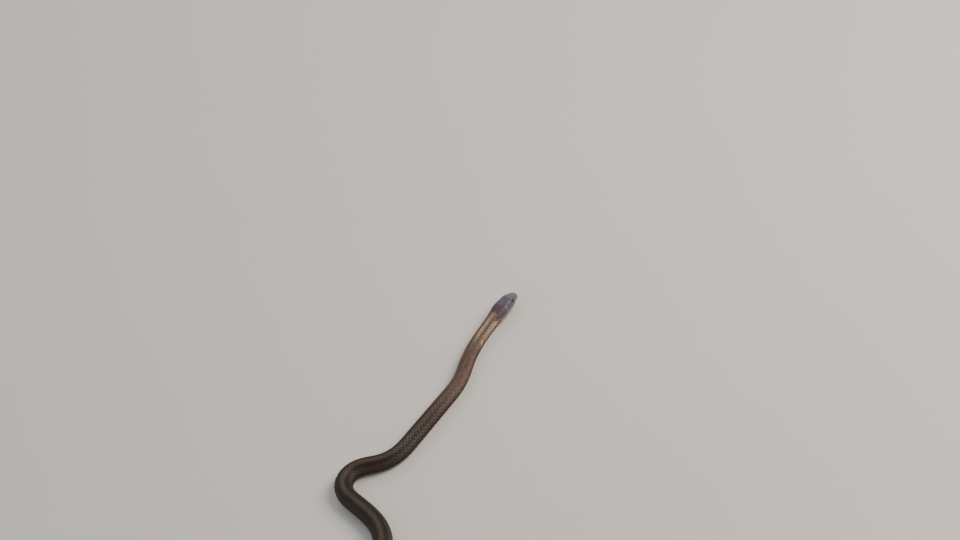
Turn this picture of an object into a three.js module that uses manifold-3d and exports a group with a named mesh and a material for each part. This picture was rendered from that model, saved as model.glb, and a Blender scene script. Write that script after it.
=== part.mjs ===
// A garter snake at life size, lying in easy bends on flat ground with its head a little raised.
// Millimetres, +Z up. The ground is z = 0, and x = 0, y = 0 is the middle of the ground that it covers.
import * as THREE from "three";
import { mergeVertices } from "three/addons/utils/BufferGeometryUtils.js";
import Module from "manifold-3d";

const wasm = await Module();
wasm.setup();

const { clamp, degToRad, lerp, smoothstep } = THREE.MathUtils;

// The whole animal
const totalLength = 600;
const ventAt = 455;
const headLength = 24;
const snoutAt = new THREE.Vector2(75.43, 227.942);
const firstHeading = 223;
const pieceGap = 0.3;

// Bends of the back line: distance of the middle from the snout, length of the bend, turn in degrees
const bends = [
  { middle: 49.5, length: 51, turn: 25 },
  { middle: 73.5, length: 28, turn: -25 },
  { middle: 143.5, length: 35, turn: -57 },
  { middle: 172.5, length: 43, turn: 133 },
  { middle: 232, length: 64, turn: -74 },
  { middle: 304, length: 84, turn: 108 },
  { middle: 392, length: 90, turn: -128 },
  { middle: 472, length: 78, turn: 112 },
  { middle: 548, length: 76, turn: -76 },
];

// Body: width at a distance from the snout, and the section's other measures as shares
const bodyWidths = [
  [24, 9.0],
  [34, 8.7],
  [60, 9.2],
  [100, 10.0],
  [150, 10.8],
  [230, 11.8],
  [320, 11.7],
  [400, 10.4],
  [455, 8.8],
  [475, 7.8],
  [520, 5.7],
  [570, 3.1],
  [594, 1.5],
  [600, 1.0],
];
const heightShare = 0.86;
const widestShare = 0.47;
const bellySquareness = 2.5;
const bellyDrop = 1.08;
const headLift = 2.4;
const liftLength = 52;

// Named lengths of the body, each from where the last ends to this distance from the snout
const lengths = [
  { name: "neck", end: 60 },
  { name: "torso_1", end: 118 },
  { name: "torso_2", end: 156 },
  { name: "torso_3", end: 198 },
  { name: "torso_4", end: 264 },
  { name: "torso_5", end: 346 },
  { name: "torso_6", end: 398 },
  { name: "torso_7", end: ventAt },
  { name: "tail_1", end: 522, sides: 14 },
  { name: "tail_2", end: totalLength, sides: 12 },
];
const bodySides = 16;

// Belly scutes: plates with a sharp step at the hind edge, twice as long as the real ones
const scuteLength = 5.6;
const scuteStep = 0.32;
const scuteEdge = 0.3;
const scuteSlope = 1.1;
const scuteWrap = 118;
const fullScuteWidth = 8;

// Head: measures at a distance from the snout, heights above the chin line
const halfWidths = [
  [0, 2.3],
  [3, 2.8],
  [6.4, 3.9],
  [10, 4.65],
  [15.5, 5.35],
  [19, 5.15],
  [24, 4.5],
];
const crownHeights = [
  [0, 3.9],
  [3, 5.1],
  [6.4, 6.7],
  [10, 7.3],
  [16, 7.8],
  [24, 7.74],
];
const widestHeights = [
  [0, 2.2],
  [4, 2.3],
  [9, 2.7],
  [16, 3.6],
  [24, 3.64],
];
const chinHeights = [
  [0, 0.5],
  [2, 0.15],
  [6, 0],
  [24, 0],
];
const topSquareness = [
  [0, 2.5],
  [3, 3.1],
  [6.4, 2.9],
  [12, 2.5],
  [18, 2.25],
  [24, 2],
];
const jawSquareness = 2.45;
const snoutRound = 2.2;
const headSides = 28;
const headRings = 24;
const ringCrowding = 1.35;

// Mouth line in side view, to its corner: distance from the snout, height above the chin line
const mouthLine = [
  [-2, 1.8],
  [3, 1.62],
  [8, 1.85],
  [13, 2.7],
  [16.6, 3.75],
];
const jawEnd = [19.6, -3];
const mouthSteps = 14;

// Eyes: an oval lens each, set in a socket and turned a little forward and up
const eye = { along: 6.4, height: 4.5, side: 3.1, long: 1.62, deep: 0.95, tall: 1.55, forward: 15, up: 14 };
const nostril = { along: 1.9, height: 3.35, side: 2.35, radius: 0.42 };

// Head shields seen from above, right half: distance from the snout, distance from the midline
const shieldRise = 0.2;
const browRise = 0.34;
const shieldFloor = 4.1;
const crownShields = [
  { name: "internasal", outline: [[1.1, 0.12], [1.25, 1.35], [2.0, 1.85], [2.7, 1.75], [2.65, 0.12]] },
  { name: "prefrontal", outline: [[2.9, 0.12], [2.95, 1.95], [4.3, 2.75], [4.85, 1.5], [4.85, 0.12]] },
  {
    name: "parietal",
    outline: [[8.75, 1.3], [10.15, 0.12], [15.8, 0.12], [15.4, 1.8], [12.4, 3.4], [9.3, 3.7], [8.95, 2.7]],
  },
];
const frontal = [[5.1, 0], [5.15, 1.3], [8.4, 1.0], [9.85, 0], [8.4, -1.0], [5.15, -1.3]];
const brow = [[5.2, 1.55], [4.6, 2.75], [5.6, 3.75], [7.6, 3.95], [8.7, 3.4], [8.6, 1.25]];
const browFloor = 5.5;

// Shields on the side of the head: distance from the snout, height above the chin line
const sideShields = [
  { name: "nasal", outline: [[1.1, 3.1], [1.2, 4.15], [2.75, 4.6], [2.75, 3.1]] },
  { name: "loreal", outline: [[3.0, 3.15], [3.0, 4.7], [4.15, 5.05], [4.25, 3.2]] },
  { name: "upper postocular", outline: [[8.2, 4.75], [8.05, 6.0], [9.2, 6.1], [9.3, 4.75]] },
  { name: "lower postocular", outline: [[7.9, 3.5], [8.2, 4.5], [9.3, 4.5], [9.3, 3.55]] },
  { name: "front temporal", outline: [[9.55, 4.0], [9.55, 6.0], [12.4, 6.0], [12.6, 4.5]] },
  { name: "hind upper temporal", outline: [[12.75, 5.35], [12.65, 6.3], [15.4, 6.2], [15.6, 5.35]] },
  { name: "hind lower temporal", outline: [[12.85, 4.3], [12.75, 5.1], [15.6, 5.1], [15.6, 4.7]] },
];

// Lip shields: where each ends along the mouth, and how far it reaches from the mouth line
const upperLips = {
  ends: [1.0, 2.7, 4.4, 6.1, 8.0, 10.6, 13.4, 16.3],
  reach: [1.2, 1.2, 1.15, 1.1, 1.5, 1.75, 1.3],
};
const lowerLips = {
  ends: [1.0, 2.6, 4.2, 5.8, 7.6, 9.7, 12.0, 14.6],
  reach: [0.95, 1.0, 1.0, 1.05, 1.15, 1.25, 1.3],
};
const chinShields = [
  { name: "front chin shield", outline: [[3.0, 0.12], [3.4, 0.95], [6.9, 1.35], [7.0, 0.12]] },
  { name: "hind chin shield", outline: [[7.25, 0.2], [7.25, 1.3], [10.9, 1.9], [11.6, 1.2]] },
];
const chinFloor = -19;
const seam = 0.24;
const lipPeak = 0.12;

// Prisms that shape the head reach well past it, and a side one starts a little over the midline
const reachPast = 20;
const overMidline = 0.9;

// A smooth curve through a short table of [distance, value]
function between(table, at) {
  const last = table.length - 1;
  let i = 1;
  while (i < last && table[i][0] < at) i += 1;
  const slope = (k) => {
    const before = table[Math.max(k - 1, 0)];
    const after = table[Math.min(k + 1, last)];
    return (after[1] - before[1]) / (after[0] - before[0]);
  };
  const [x0, y0] = table[i - 1];
  const [x1, y1] = table[i];
  const span = x1 - x0;
  const t = clamp((at - x0) / span, 0, 1);
  const rise = t * t * (3 - 2 * t);
  const leave = t * (1 - t) * (1 - t) * span * slope(i - 1);
  const arrive = t * t * (t - 1) * span * slope(i);
  return y0 + (y1 - y0) * rise + leave + arrive;
}

// The back line on the ground: a point and a heading every half millimetre from the snout
const routeStep = 0.5;
const route = [];
const walker = snoutAt.clone();
for (let s = 0; s <= totalLength + routeStep; s += routeStep) {
  let heading = firstHeading;
  for (const { middle, length, turn } of bends) {
    heading += turn * smoothstep(s, middle - length / 2, middle + length / 2);
  }
  const angle = degToRad(heading);
  route.push({ x: walker.x, y: walker.y, angle });
  walker.x += Math.cos(angle) * routeStep;
  walker.y += Math.sin(angle) * routeStep;
}

// A point beside the back line: out to the snake's right, and up
function besideRoute(s, right, up) {
  const i = Math.min(Math.floor(s / routeStep), route.length - 2);
  const t = s / routeStep - i;
  const x = lerp(route[i].x, route[i + 1].x, t);
  const y = lerp(route[i].y, route[i + 1].y, t);
  const angle = lerp(route[i].angle, route[i + 1].angle, t);
  return new THREE.Vector3(x - Math.sin(angle) * right, y + Math.cos(angle) * right, up);
}

function lift(s) {
  return headLift * (1 - smoothstep(s, 0, liftLength));
}

// A closed skin over rings of points, with a middle point in each end
function loft(rings) {
  const sides = rings[0].length;
  const points = rings.flat();
  const faces = [];
  for (let r = 0; r + 1 < rings.length; r += 1) {
    for (let i = 0; i < sides; i += 1) {
      const a = r * sides + i;
      const b = r * sides + ((i + 1) % sides);
      faces.push(a, a + sides, b, b, a + sides, b + sides);
    }
  }
  const lastRing = (rings.length - 1) * sides;
  const front = points.length;
  for (const ring of [rings[0], rings[rings.length - 1]]) {
    const middle = new THREE.Vector3();
    for (const point of ring) middle.add(point);
    points.push(middle.divideScalar(sides));
  }
  for (let i = 0; i < sides; i += 1) {
    const next = (i + 1) % sides;
    faces.push(front, i, next);
    faces.push(front + 1, lastRing + next, lastRing + i);
  }
  const geometry = new THREE.BufferGeometry().setFromPoints(points);
  geometry.setIndex(faces);
  return geometry;
}

// A section of the animal as [right, up] pairs, from the middle of the back round the right side
function section({ half, crown, widest, chin, top, low, drop, sides }) {
  const ring = [];
  for (let i = 0; i < sides; i += 1) {
    const angle = (i / sides) * 2 * Math.PI;
    const across = Math.sin(angle);
    const upward = Math.cos(angle);
    const power = 2 / (upward > 0 ? top : low);
    const right = half * Math.sign(across) * Math.abs(across) ** power;
    const reach = Math.abs(upward) ** power;
    const up = upward > 0 ? (crown - widest) * reach : -(widest - chin) * Math.min(1, drop * reach);
    ring.push([right, widest + up]);
  }
  return ring;
}

// An oval section, flat below: inset draws the belly part in, between two scutes
function bodySection(s, sides, inset) {
  const half = between(bodyWidths, s) / 2;
  const crown = 2 * half * heightShare;
  const widest = crown * widestShare;
  const shape = { half, crown, widest, chin: 0, top: 2, low: bellySquareness, drop: bellyDrop };
  const pairs = section({ ...shape, sides });
  return pairs.map(([right, up], i) => {
    const turned = Math.min(i, sides - i) * (360 / sides);
    const pull = turned > scuteWrap ? inset / Math.hypot(right, up - widest) : 0;
    return besideRoute(s, right * (1 - pull), lift(s) + up + (widest - up) * pull);
  });
}

function bodyLength({ start, end, sides = bodySides }) {
  const from = start + pieceGap / 2;
  const isTip = end === totalLength;
  const to = isTip ? end : end - pieceGap / 2;
  const count = Math.round((to - from) / scuteLength);
  const pitch = (to - from) / count;
  const rings = [];
  for (let k = 0; k < count; k += 1) {
    const front = from + k * pitch;
    const slim = Math.min(1, between(bodyWidths, front) / fullScuteWidth);
    if (k > 0) rings.push(bodySection(front, sides, scuteStep * slim));
    rings.push(bodySection(front + (k > 0 ? scuteSlope : 0), sides, 0));
    const last = k === count - 1;
    rings.push(bodySection(front + pitch - (last ? 0 : scuteEdge), sides, 0));
  }
  return loft(rings);
}

// Head space: x runs back from the snout, y to the snake's right, z up from the ground
function headSection(s, rise) {
  const nose = s < snoutRound ? Math.sqrt(1 - (1 - s / snoutRound) ** 2) : 1;
  const widest = between(widestHeights, s);
  const pairs = section({
    half: between(halfWidths, s) * nose + rise,
    crown: widest + (between(crownHeights, s) - widest) * nose + rise,
    widest,
    chin: widest - (widest - between(chinHeights, s)) * nose - rise,
    top: between(topSquareness, s),
    low: jawSquareness,
    drop: 1,
    sides: headSides,
  });
  return pairs.map(([right, up]) => new THREE.Vector3(s, right, up + lift(s)));
}

function headLoft(rise) {
  const rings = [];
  const end = headLength - pieceGap / 2;
  for (let k = 1; k <= headRings; k += 1) {
    rings.push(headSection(end * (k / headRings) ** ringCrowding, rise));
  }
  return loft(rings);
}

// Joining and cutting
function solid(geometry) {
  const bare = geometry.clone();
  bare.deleteAttribute("normal");
  bare.deleteAttribute("uv");
  const merged = mergeVertices(bare, 1e-4);
  return new wasm.Manifold(
    new wasm.Mesh({
      numProp: 3,
      vertProperties: new Float32Array(merged.attributes.position.array),
      triVerts: new Uint32Array(merged.index.array),
    }),
  );
}

function surface(made) {
  const mesh = made.getMesh();
  const geometry = new THREE.BufferGeometry();
  geometry.setAttribute("position", new THREE.BufferAttribute(mesh.vertProperties, 3));
  geometry.setIndex(new THREE.BufferAttribute(mesh.triVerts, 1));
  return geometry;
}

function byVolume(made) {
  return made.decompose().sort((a, b) => b.volume() - a.volume());
}

function prism(outline, depth) {
  const shape = new THREE.Shape(outline.map(([x, y]) => new THREE.Vector2(x, y)));
  return new THREE.ExtrudeGeometry(shape, { depth, bevelEnabled: false });
}

// A prism straight up from a height, over an outline seen from above
function fromAbove(outline, side, floor) {
  const upright = prism(
    outline.map(([s, out]) => [s, out * side]),
    reachPast,
  );
  upright.translate(0, 0, floor + lift(outline[0][0]));
  return solid(upright);
}

// A prism out of one side of the head, over an outline of distances and heights above the chin line
function fromSide(outline, side) {
  const outward = prism(
    outline.map(([s, height]) => [s, height + lift(s)]),
    reachPast,
  );
  outward.rotateX(Math.PI / 2);
  outward.translate(0, side > 0 ? reachPast + overMidline : -overMidline, 0);
  return solid(outward);
}

function lipShields({ ends, reach }, up) {
  return reach.map((tall, k) => {
    const from = ends[k] + seam / 2;
    const to = ends[k + 1] - seam / 2;
    const edge = (s, more) => [s, between(mouthLine, s) + up * more];
    const peak = edge((from + to) / 2, tall + lipPeak);
    return [edge(from, 0), edge(to, 0), edge(to, tall), peak, edge(from, tall)];
  });
}

// A thin sheet along the mouth line and down behind the jaw, as wide as the head
function mouthSheet() {
  const line = [];
  const [start] = mouthLine[0];
  const [corner] = mouthLine[mouthLine.length - 1];
  for (let k = 0; k <= mouthSteps; k += 1) {
    const s = start + ((corner - start) * k) / mouthSteps;
    line.push(new THREE.Vector2(s, between(mouthLine, s) + lift(s)));
  }
  line.push(new THREE.Vector2(jawEnd[0], jawEnd[1]));
  const upper = [];
  const lower = [];
  line.forEach((point, i) => {
    const before = line[Math.max(i - 1, 0)];
    const after = line[Math.min(i + 1, line.length - 1)];
    const along = after.clone().sub(before).normalize();
    const out = new THREE.Vector2(-along.y, along.x).multiplyScalar(pieceGap / 2);
    upper.push(point.clone().add(out));
    lower.push(point.clone().sub(out));
  });
  const outline = [...upper, ...lower.reverse()].map((point) => [point.x, point.y]);
  const sheet = prism(outline, reachPast);
  sheet.rotateX(Math.PI / 2);
  sheet.translate(0, reachPast / 2, 0);
  return solid(sheet);
}

// An eye's oval on one side, grown by a margin for its socket
function eyeOval(side, margin) {
  const oval = new THREE.SphereGeometry(1, 20, 14);
  oval.rotateX(Math.PI / 2);
  oval.scale(eye.long + margin, eye.deep + margin, eye.tall + margin);
  oval.rotateX(degToRad(eye.up * side));
  oval.rotateZ(degToRad(eye.forward * side));
  oval.translate(eye.along, eye.side * side, eye.height + lift(eye.along));
  return oval;
}

function nostrilPit(side) {
  const pit = new THREE.SphereGeometry(nostril.radius, 10, 8);
  pit.translate(nostril.along, nostril.side * side, nostril.height + lift(nostril.along));
  return solid(pit);
}

// The head with its shields raised on it, then parted along the mouth
function buildHead() {
  const shell = solid(headLoft(shieldRise));
  const plates = [fromAbove(frontal, 1, shieldFloor)];
  for (const side of [1, -1]) {
    for (const { outline } of crownShields) plates.push(fromAbove(outline, side, shieldFloor));
    for (const { outline } of sideShields) plates.push(fromSide(outline, side));
    for (const outline of lipShields(upperLips, 1)) plates.push(fromSide(outline, side));
    for (const outline of lipShields(lowerLips, -1)) plates.push(fromSide(outline, side));
    for (const { outline } of chinShields) plates.push(fromAbove(outline, side, chinFloor));
  }
  let whole = solid(headLoft(0));
  for (const plate of plates) whole = whole.add(plate.intersect(shell));
  const browShell = solid(headLoft(browRise));
  for (const side of [1, -1]) whole = whole.add(fromAbove(brow, side, browFloor).intersect(browShell));
  for (const side of [1, -1]) {
    whole = whole.subtract(solid(eyeOval(side, pieceGap)));
    whole = whole.subtract(nostrilPit(side));
  }
  const [skull, jaw] = byVolume(whole.subtract(mouthSheet()));
  return { skull: surface(skull), jaw: surface(jaw) };
}

const hide = {
  slate: new THREE.MeshStandardMaterial({ color: "#4d484c", roughness: 0.45, metalness: 0 }),
  pale: new THREE.MeshStandardMaterial({ color: "#a39a84", roughness: 0.5, metalness: 0 }),
  olive: new THREE.MeshStandardMaterial({ color: "#6b5a43", roughness: 0.55, metalness: 0 }),
  eye: new THREE.MeshStandardMaterial({ color: "#16110c", roughness: 0.08, metalness: 0 }),
};

function piece(name, geometry, material) {
  const mesh = new THREE.Mesh(geometry, material.clone());
  mesh.name = name;
  return mesh;
}

const snake = new THREE.Group();

const headGroup = new THREE.Group();
headGroup.position.set(snoutAt.x, snoutAt.y, 0);
headGroup.rotation.z = degToRad(firstHeading);
const { skull, jaw } = buildHead();
headGroup.add(piece("head", skull, hide.slate));
headGroup.add(piece("jaw", jaw, hide.pale));
headGroup.add(piece("eye_right", eyeOval(1, 0), hide.eye));
headGroup.add(piece("eye_left", eyeOval(-1, 0), hide.eye));
snake.add(headGroup);

let start = headLength;
for (const { name, end, sides } of lengths) {
  snake.add(piece(name, bodyLength({ start, end, sides }), hide.olive));
  start = end;
}

export default snake;
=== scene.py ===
from math import cos, hypot, pi, radians, sin

import bmesh
import bpy
import numpy as np
from mathutils import Matrix, Vector


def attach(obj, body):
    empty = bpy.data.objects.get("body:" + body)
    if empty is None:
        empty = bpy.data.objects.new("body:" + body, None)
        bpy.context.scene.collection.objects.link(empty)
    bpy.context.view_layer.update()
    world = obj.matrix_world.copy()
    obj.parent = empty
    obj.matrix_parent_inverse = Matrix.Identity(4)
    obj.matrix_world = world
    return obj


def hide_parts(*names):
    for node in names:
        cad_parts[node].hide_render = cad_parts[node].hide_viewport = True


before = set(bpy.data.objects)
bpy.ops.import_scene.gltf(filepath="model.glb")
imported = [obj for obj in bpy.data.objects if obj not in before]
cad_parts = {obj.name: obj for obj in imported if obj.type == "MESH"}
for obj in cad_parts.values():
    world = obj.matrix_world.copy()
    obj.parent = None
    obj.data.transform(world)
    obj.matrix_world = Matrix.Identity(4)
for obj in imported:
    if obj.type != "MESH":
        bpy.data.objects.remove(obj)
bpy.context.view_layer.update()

mm = 0.001
tiny = 1e-9  # keeps a division from zero

# The whole animal, in millimetres from the tip of the snout
snake = {
    "length": 600,
    "ventAt": 455,
    "headLength": 24,
    "snout": (75.43, 227.942),
    "firstHeading": 223,
    "step": 0.5,
    "spareSteps": 8,
    # middle of a bend, its length, its turn in degrees
    "bends": [
        (49.5, 51, 25), (73.5, 28, -25), (143.5, 35, -57), (172.5, 43, 133), (232, 64, -74),
        (304, 84, 108), (392, 90, -128), (472, 78, 112), (548, 76, -76),
    ],
    "headLift": 2.4,
    "liftLength": 52,
}

# Measures of the section at a distance from the snout
bodyWidths = [
    (24, 9.0), (34, 8.7), (60, 9.2), (100, 10.0), (150, 10.8), (230, 11.8), (320, 11.7), (400, 10.4),
    (455, 8.8), (475, 7.8), (520, 5.7), (570, 3.1), (594, 1.5), (600, 1.0),
]
headMeasures = {
    "half": [(0, 2.3), (3, 2.8), (6.4, 3.9), (10, 4.65), (15.5, 5.35), (19, 5.15), (24, 4.5)],
    "crown": [(0, 3.9), (3, 5.1), (6.4, 6.7), (10, 7.3), (16, 7.8), (24, 7.74)],
    "widest": [(0, 2.2), (4, 2.3), (9, 2.7), (16, 3.6), (24, 3.64)],
    "chin": [(0, 0.5), (2, 0.15), (6, 0), (24, 0)],
    "top": [(0, 2.5), (3, 3.1), (6.4, 2.9), (12, 2.5), (18, 2.25), (24, 2)],
}
sectionShape = {
    "height": 0.86,
    "widest": 0.47,
    # how square the section is: 2 is an ellipse
    "back": 2,
    "jaw": 2.45,
    "belly": 2.5,
    "bellyDrop": 1.08,
    "toBody": (19, 27),
    "snoutRound": 2.2,
    "tipRound": 2.4,
    "slopeTurn": 0.004,
}


def smoothstep(value, low, high):
    t = np.clip((np.asarray(value, float) - low) / (high - low), 0, 1)
    return t * t * (3 - 2 * t)


# A smooth curve through a short table of (distance, value)
def between(table, at):
    x, y = np.array(table, float).T
    at = np.clip(np.asarray(at, float), x[0], x[-1])
    before = np.r_[0, np.arange(len(x) - 1)]
    after = np.r_[np.arange(1, len(x)), len(x) - 1]
    slope = (y[after] - y[before]) / (x[after] - x[before])
    i = np.clip(np.searchsorted(x, at, side="left"), 1, len(x) - 1)
    span = x[i] - x[i - 1]
    t = (at - x[i - 1]) / span
    rise = t * t * (3 - 2 * t)
    leave = t * (1 - t) ** 2 * span * slope[i - 1]
    arrive = t * t * (t - 1) * span * slope[i]
    return y[i - 1] + (y[i] - y[i - 1]) * rise + leave + arrive


# The back line on the ground
def walkRoute():
    s = np.arange(0, snake["length"] + snake["spareSteps"] * snake["step"], snake["step"])
    heading = np.full(len(s), float(snake["firstHeading"]))
    for middle, length, turn in snake["bends"]:
        heading += turn * smoothstep(s, middle - length / 2, middle + length / 2)
    angle = np.radians(heading)
    x = snake["snout"][0] + np.r_[0, np.cumsum(np.cos(angle) * snake["step"])[:-1]]
    y = snake["snout"][1] + np.r_[0, np.cumsum(np.sin(angle) * snake["step"])[:-1]]
    return s, x, y, angle


route = walkRoute()


def liftAt(s):
    return snake["headLift"] * (1 - smoothstep(s, 0, snake["liftLength"]))


# A point beside the back line: out to the snake's right, and up from the ground
def besideRoute(s, right, up):
    angle = np.interp(s, route[0], route[3])
    before = np.minimum(s, 0)
    x = np.interp(s, route[0], route[1]) + before * np.cos(angle)
    y = np.interp(s, route[0], route[2]) + before * np.sin(angle)
    return np.stack([x - np.sin(angle) * right, y + np.cos(angle) * right, up + 0 * x], -1)


# Every measure of the section at a distance from the snout
def measuresAt(s):
    s = np.asarray(s, float)
    width = between(bodyWidths, s)
    onHead = s < snake["headLength"]
    crown = np.where(onHead, between(headMeasures["crown"], s), width * sectionShape["height"])
    bodyWidest = width * sectionShape["height"] * sectionShape["widest"]
    nose = np.sqrt(np.clip(1 - (1 - np.clip(s / sectionShape["snoutRound"], 0, 1)) ** 2, 0, 1))
    widest = np.where(onHead, between(headMeasures["widest"], s), bodyWidest)
    chin = np.where(onHead, between(headMeasures["chin"], s), 0)
    toBody = smoothstep(s, *sectionShape["toBody"])
    tipShare = np.clip((s - snake["length"]) / sectionShape["tipRound"] + 1, 0, 1)
    tip = np.sqrt(1 - tipShare**2)
    return {
        "half": np.where(onHead, between(headMeasures["half"], s), width / 2) * nose * tip,
        "crown": (widest + (crown - widest) * nose) * tip,
        "widest": widest * tip,
        "chin": widest - (widest - chin) * nose,
        "top": np.where(onHead, between(headMeasures["top"], s), sectionShape["back"]),
        "low": sectionShape["jaw"] + (sectionShape["belly"] - sectionShape["jaw"]) * toBody,
        "drop": 1 + (sectionShape["bellyDrop"] - 1) * toBody,
    }


# Right and up of the section, with the angle measured from the back
def sectionAt(measures, angle):
    across = np.sin(angle)
    upward = np.cos(angle)
    power = 2 / np.where(upward > 0, measures["top"], measures["low"])
    right = measures["half"] * np.sign(across) * np.abs(across) ** power
    reach = np.abs(upward) ** power
    above = (measures["crown"] - measures["widest"]) * reach
    below = -(measures["widest"] - measures["chin"]) * np.minimum(1, measures["drop"] * reach)
    return right, measures["widest"] + np.where(upward > 0, above, below)


# A point of the surface moved out along its normal: distance, right and up
def surfacePoint(s, angle, out):
    s, angle, out = np.broadcast_arrays(s, angle, out)
    measures = measuresAt(s)
    turn = sectionShape["slopeTurn"]
    right, up = sectionAt(measures, angle)
    rightNext, upNext = sectionAt(measures, angle + turn)
    rightLast, upLast = sectionAt(measures, angle - turn)
    alongRight = rightNext - rightLast
    alongUp = upNext - upLast
    size = np.maximum(np.hypot(alongRight, alongUp), tiny)
    forward = np.clip(1 - s / sectionShape["snoutRound"], 0, 1)
    sideways = np.sqrt(1 - forward**2)
    right = right - out * sideways * alongUp / size
    up = up + out * sideways * alongRight / size
    return s - out * forward, right, up + liftAt(s)


def onSnake(s, angle, out):
    return besideRoute(*surfacePoint(s, angle, out)) * mm


# Tables of the section, in steps of angle, of the way round and of millimetres along
tables = {"angles": 1200, "shares": 320, "step": 0.5, "pastTail": 4, "leastRound": 0.01}
fineAngles = np.linspace(0, pi, tables["angles"] + 1)


# Arc lengths from the back to the belly line, and the height at each
def arcsAt(s):
    measures = {name: np.asarray(value)[..., None] for name, value in measuresAt(s).items()}
    right, up = sectionAt(measures, fineAngles)
    steps = np.hypot(np.diff(right), np.diff(up))
    zero = np.zeros(steps.shape[:-1] + (1,))
    return np.concatenate([zero, np.cumsum(steps, -1)], -1), up


tableStations = np.arange(0, snake["length"] + tables["pastTail"], tables["step"])
tableArcs = arcsAt(tableStations)[0]
halfRound = np.maximum(tableArcs[:, -1], tables["leastRound"])
tableShares = np.linspace(0, 1, tables["shares"] + 1)
angleTable = np.stack([np.interp(tableShares * arcs[-1], arcs, fineAngles) for arcs in tableArcs])


# The angle from the back at a share of the way round, plus on the snake's right. Past 1 it goes on up the far side
def angleAt(s, share):
    row = np.clip(s / tables["step"], 0, len(tableStations) - 1.001)  # the row after it is read too
    wrapped = np.abs(share) > 1
    column = np.clip(np.where(wrapped, 2 - np.abs(share), np.abs(share)), 0, 1) * tables["shares"]
    i = row.astype(int)
    j = np.minimum(column.astype(int), tables["shares"] - 1)
    t = row - i
    u = column - j
    upper = angleTable[i, j] * (1 - u) + angleTable[i, j + 1] * u
    lower = angleTable[i + 1, j] * (1 - u) + angleTable[i + 1, j + 1] * u
    angle = upper * (1 - t) + lower * t
    return np.sign(share) * np.where(wrapped, 2 * pi - angle, angle)


def halfRoundAt(s):
    return np.interp(s, tableStations, halfRound)


# How deep the skin lies under the tips of the scales
coat = {
    "depthShare": 0.036,
    "scutesFrom": 118,
    "headShare": 0.5,
    "deepens": (15, 21),
    "napeFrom": (15, 15.4),
    "throatFrom": (5, 6),
    "plateFoot": 0.3,
}


def coatDepth(s):
    return coat["depthShare"] * 2 * measuresAt(s)["half"]


# Beside the head shields the scales lie less deep
def coatGround(s):
    deeper = smoothstep(s, *coat["deepens"])
    return coatDepth(s) * (coat["headShare"] + (1 - coat["headShare"]) * deeper)


# Where the belly scutes begin, as a share of the way round
scuteEdges = np.array([np.interp(radians(coat["scutesFrom"]), fineAngles, arcs) for arcs in tableArcs]) / halfRound


def scuteEdgeAt(s):
    return np.interp(s, tableStations, scuteEdges)


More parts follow.
